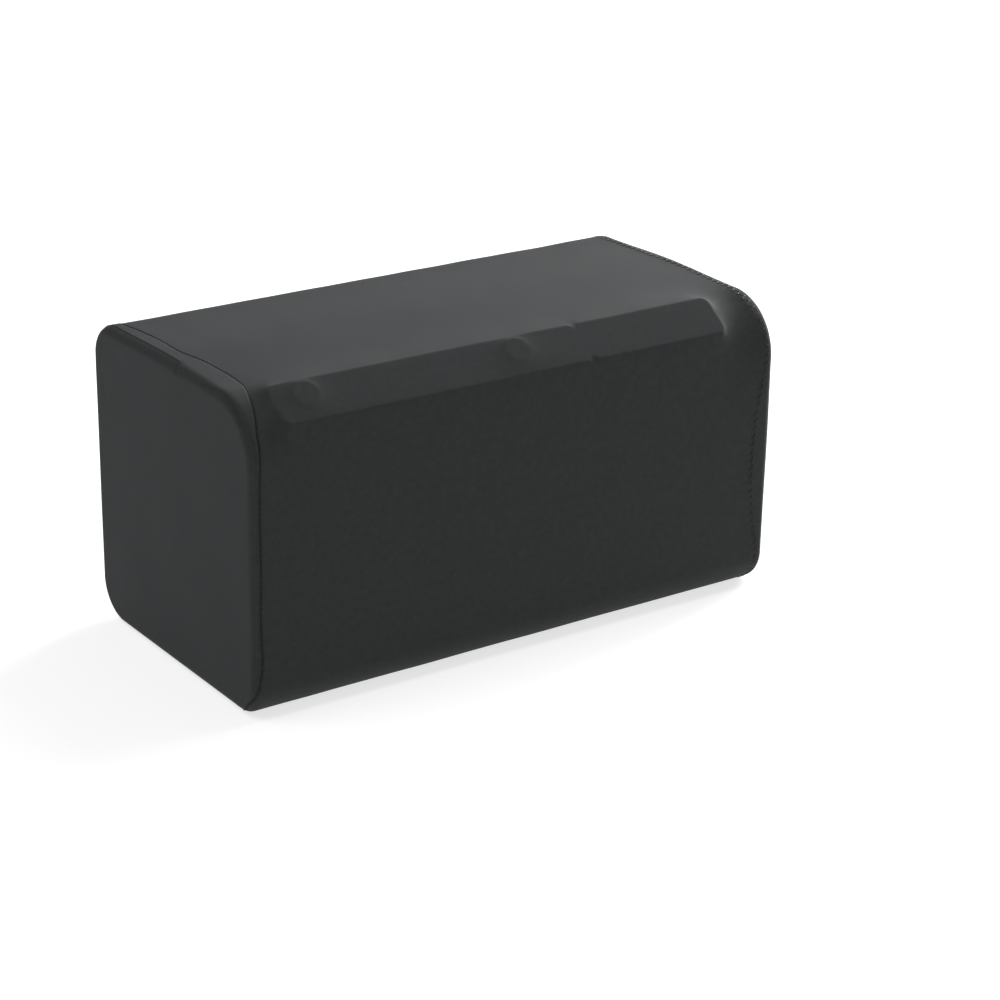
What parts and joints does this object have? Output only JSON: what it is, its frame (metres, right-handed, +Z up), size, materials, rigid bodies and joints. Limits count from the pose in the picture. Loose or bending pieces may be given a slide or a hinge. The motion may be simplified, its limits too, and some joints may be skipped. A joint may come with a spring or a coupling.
{
  "type": "printer dust cover on a support frame",
  "caption": "Fitted black stretch-knit dust cover for a desktop printer, taut over a light hoop-and-rail frame with a raised front edge bar; lifts straight off.",
  "frame": {"origin": "centre of the footprint, on the surface the cover stands on", "axes": "+X along the length to the right end, +Y to the rear (the raised edge bar faces -Y), +Z up"},
  "size_m": [0.375, 0.19, 0.1931],
  "materials": {
    "knit_cloth": "matte stretch knit",
    "knit_cloth_ends": "matte stretch knit",
    "binding_tape": "woven tape",
    "thread": "twisted thread",
    "elastic": "braided over rubber",
    "label_tape": "smooth woven, blank",
    "hoop_tube": "satin drawn tube",
    "plug_plastic": "moulded",
    "rail_plastic": "extruded, fine matte",
    "clip_plastic": "moulded, light texture",
    "screw_steel": "bright zinc",
    "beam_aluminium": "brushed flat bar",
    "bar_plastic": "extruded, fine matte",
    "fastener_plastic": "moulded, satin"
  },
  "bodies": {
    "frame": {"left_hoop": "hoop_tube", "right_hoop": "hoop_tube", "left_hoop_plug": "plug_plastic", "right_hoop_plug": "plug_plastic", "top_rear_rail": "rail_plastic", "bottom_rear_rail": "rail_plastic", "bottom_front_rail": "rail_plastic", "left_top_rear_clip": "clip_plastic", "left_bottom_rear_clip": "clip_plastic", "left_bottom_front_clip": "clip_plastic", "right_top_rear_clip": "clip_plastic", "right_bottom_rear_clip": "clip_plastic", "right_bottom_front_clip": "clip_plastic", "rail_screws": "screw_steel", "left_bar_bracket": "clip_plastic", "right_bar_bracket": "clip_plastic", "bar_beam": "beam_aluminium", "beam_screws": "screw_steel", "long_bar": "bar_plastic", "short_bar": "bar_plastic", "bar_screws": "screw_steel"},
    "left_fastener": {"left_fastener_stud": "fastener_plastic", "left_fastener_pin": "screw_steel"},
    "middle_fastener": {"middle_fastener_stud": "fastener_plastic", "middle_fastener_pin": "screw_steel"},
    "cover": {"wrap_panel": "knit_cloth", "left_end_panel": "knit_cloth_ends", "right_end_panel": "knit_cloth_ends", "left_seam_tape": "binding_tape", "right_seam_tape": "binding_tape", "left_seam_thread": "thread", "right_seam_thread": "thread", "front_hem": "knit_cloth", "rear_hem": "knit_cloth", "left_hem": "knit_cloth_ends", "right_hem": "knit_cloth_ends", "hem_casing": "binding_tape", "hem_elastic": "elastic", "care_label": "label_tape"}
  },
  "joints": [
    {"name": "cover_lift", "type": "slide", "parent": "frame", "child": "cover", "axis": [0, 0, 1], "range_m": [0, 0.22], "deforming": ["front_hem", "rear_hem", "left_hem", "right_hem", "hem_casing", "hem_elastic"]},
    {"name": "left_fastener_turn", "type": "hinge", "parent": "frame", "child": "left_fastener", "pos_m": [-0.143, -0.07959, 0.18696], "axis": [0, -0.5845, 0.8114], "range_deg": [0, 90]},
    {"name": "middle_fastener_turn", "type": "hinge", "parent": "frame", "child": "middle_fastener", "pos_m": [0.001, -0.07959, 0.18696], "axis": [0, -0.5845, 0.8114], "range_deg": [0, 90]}
  ]
}
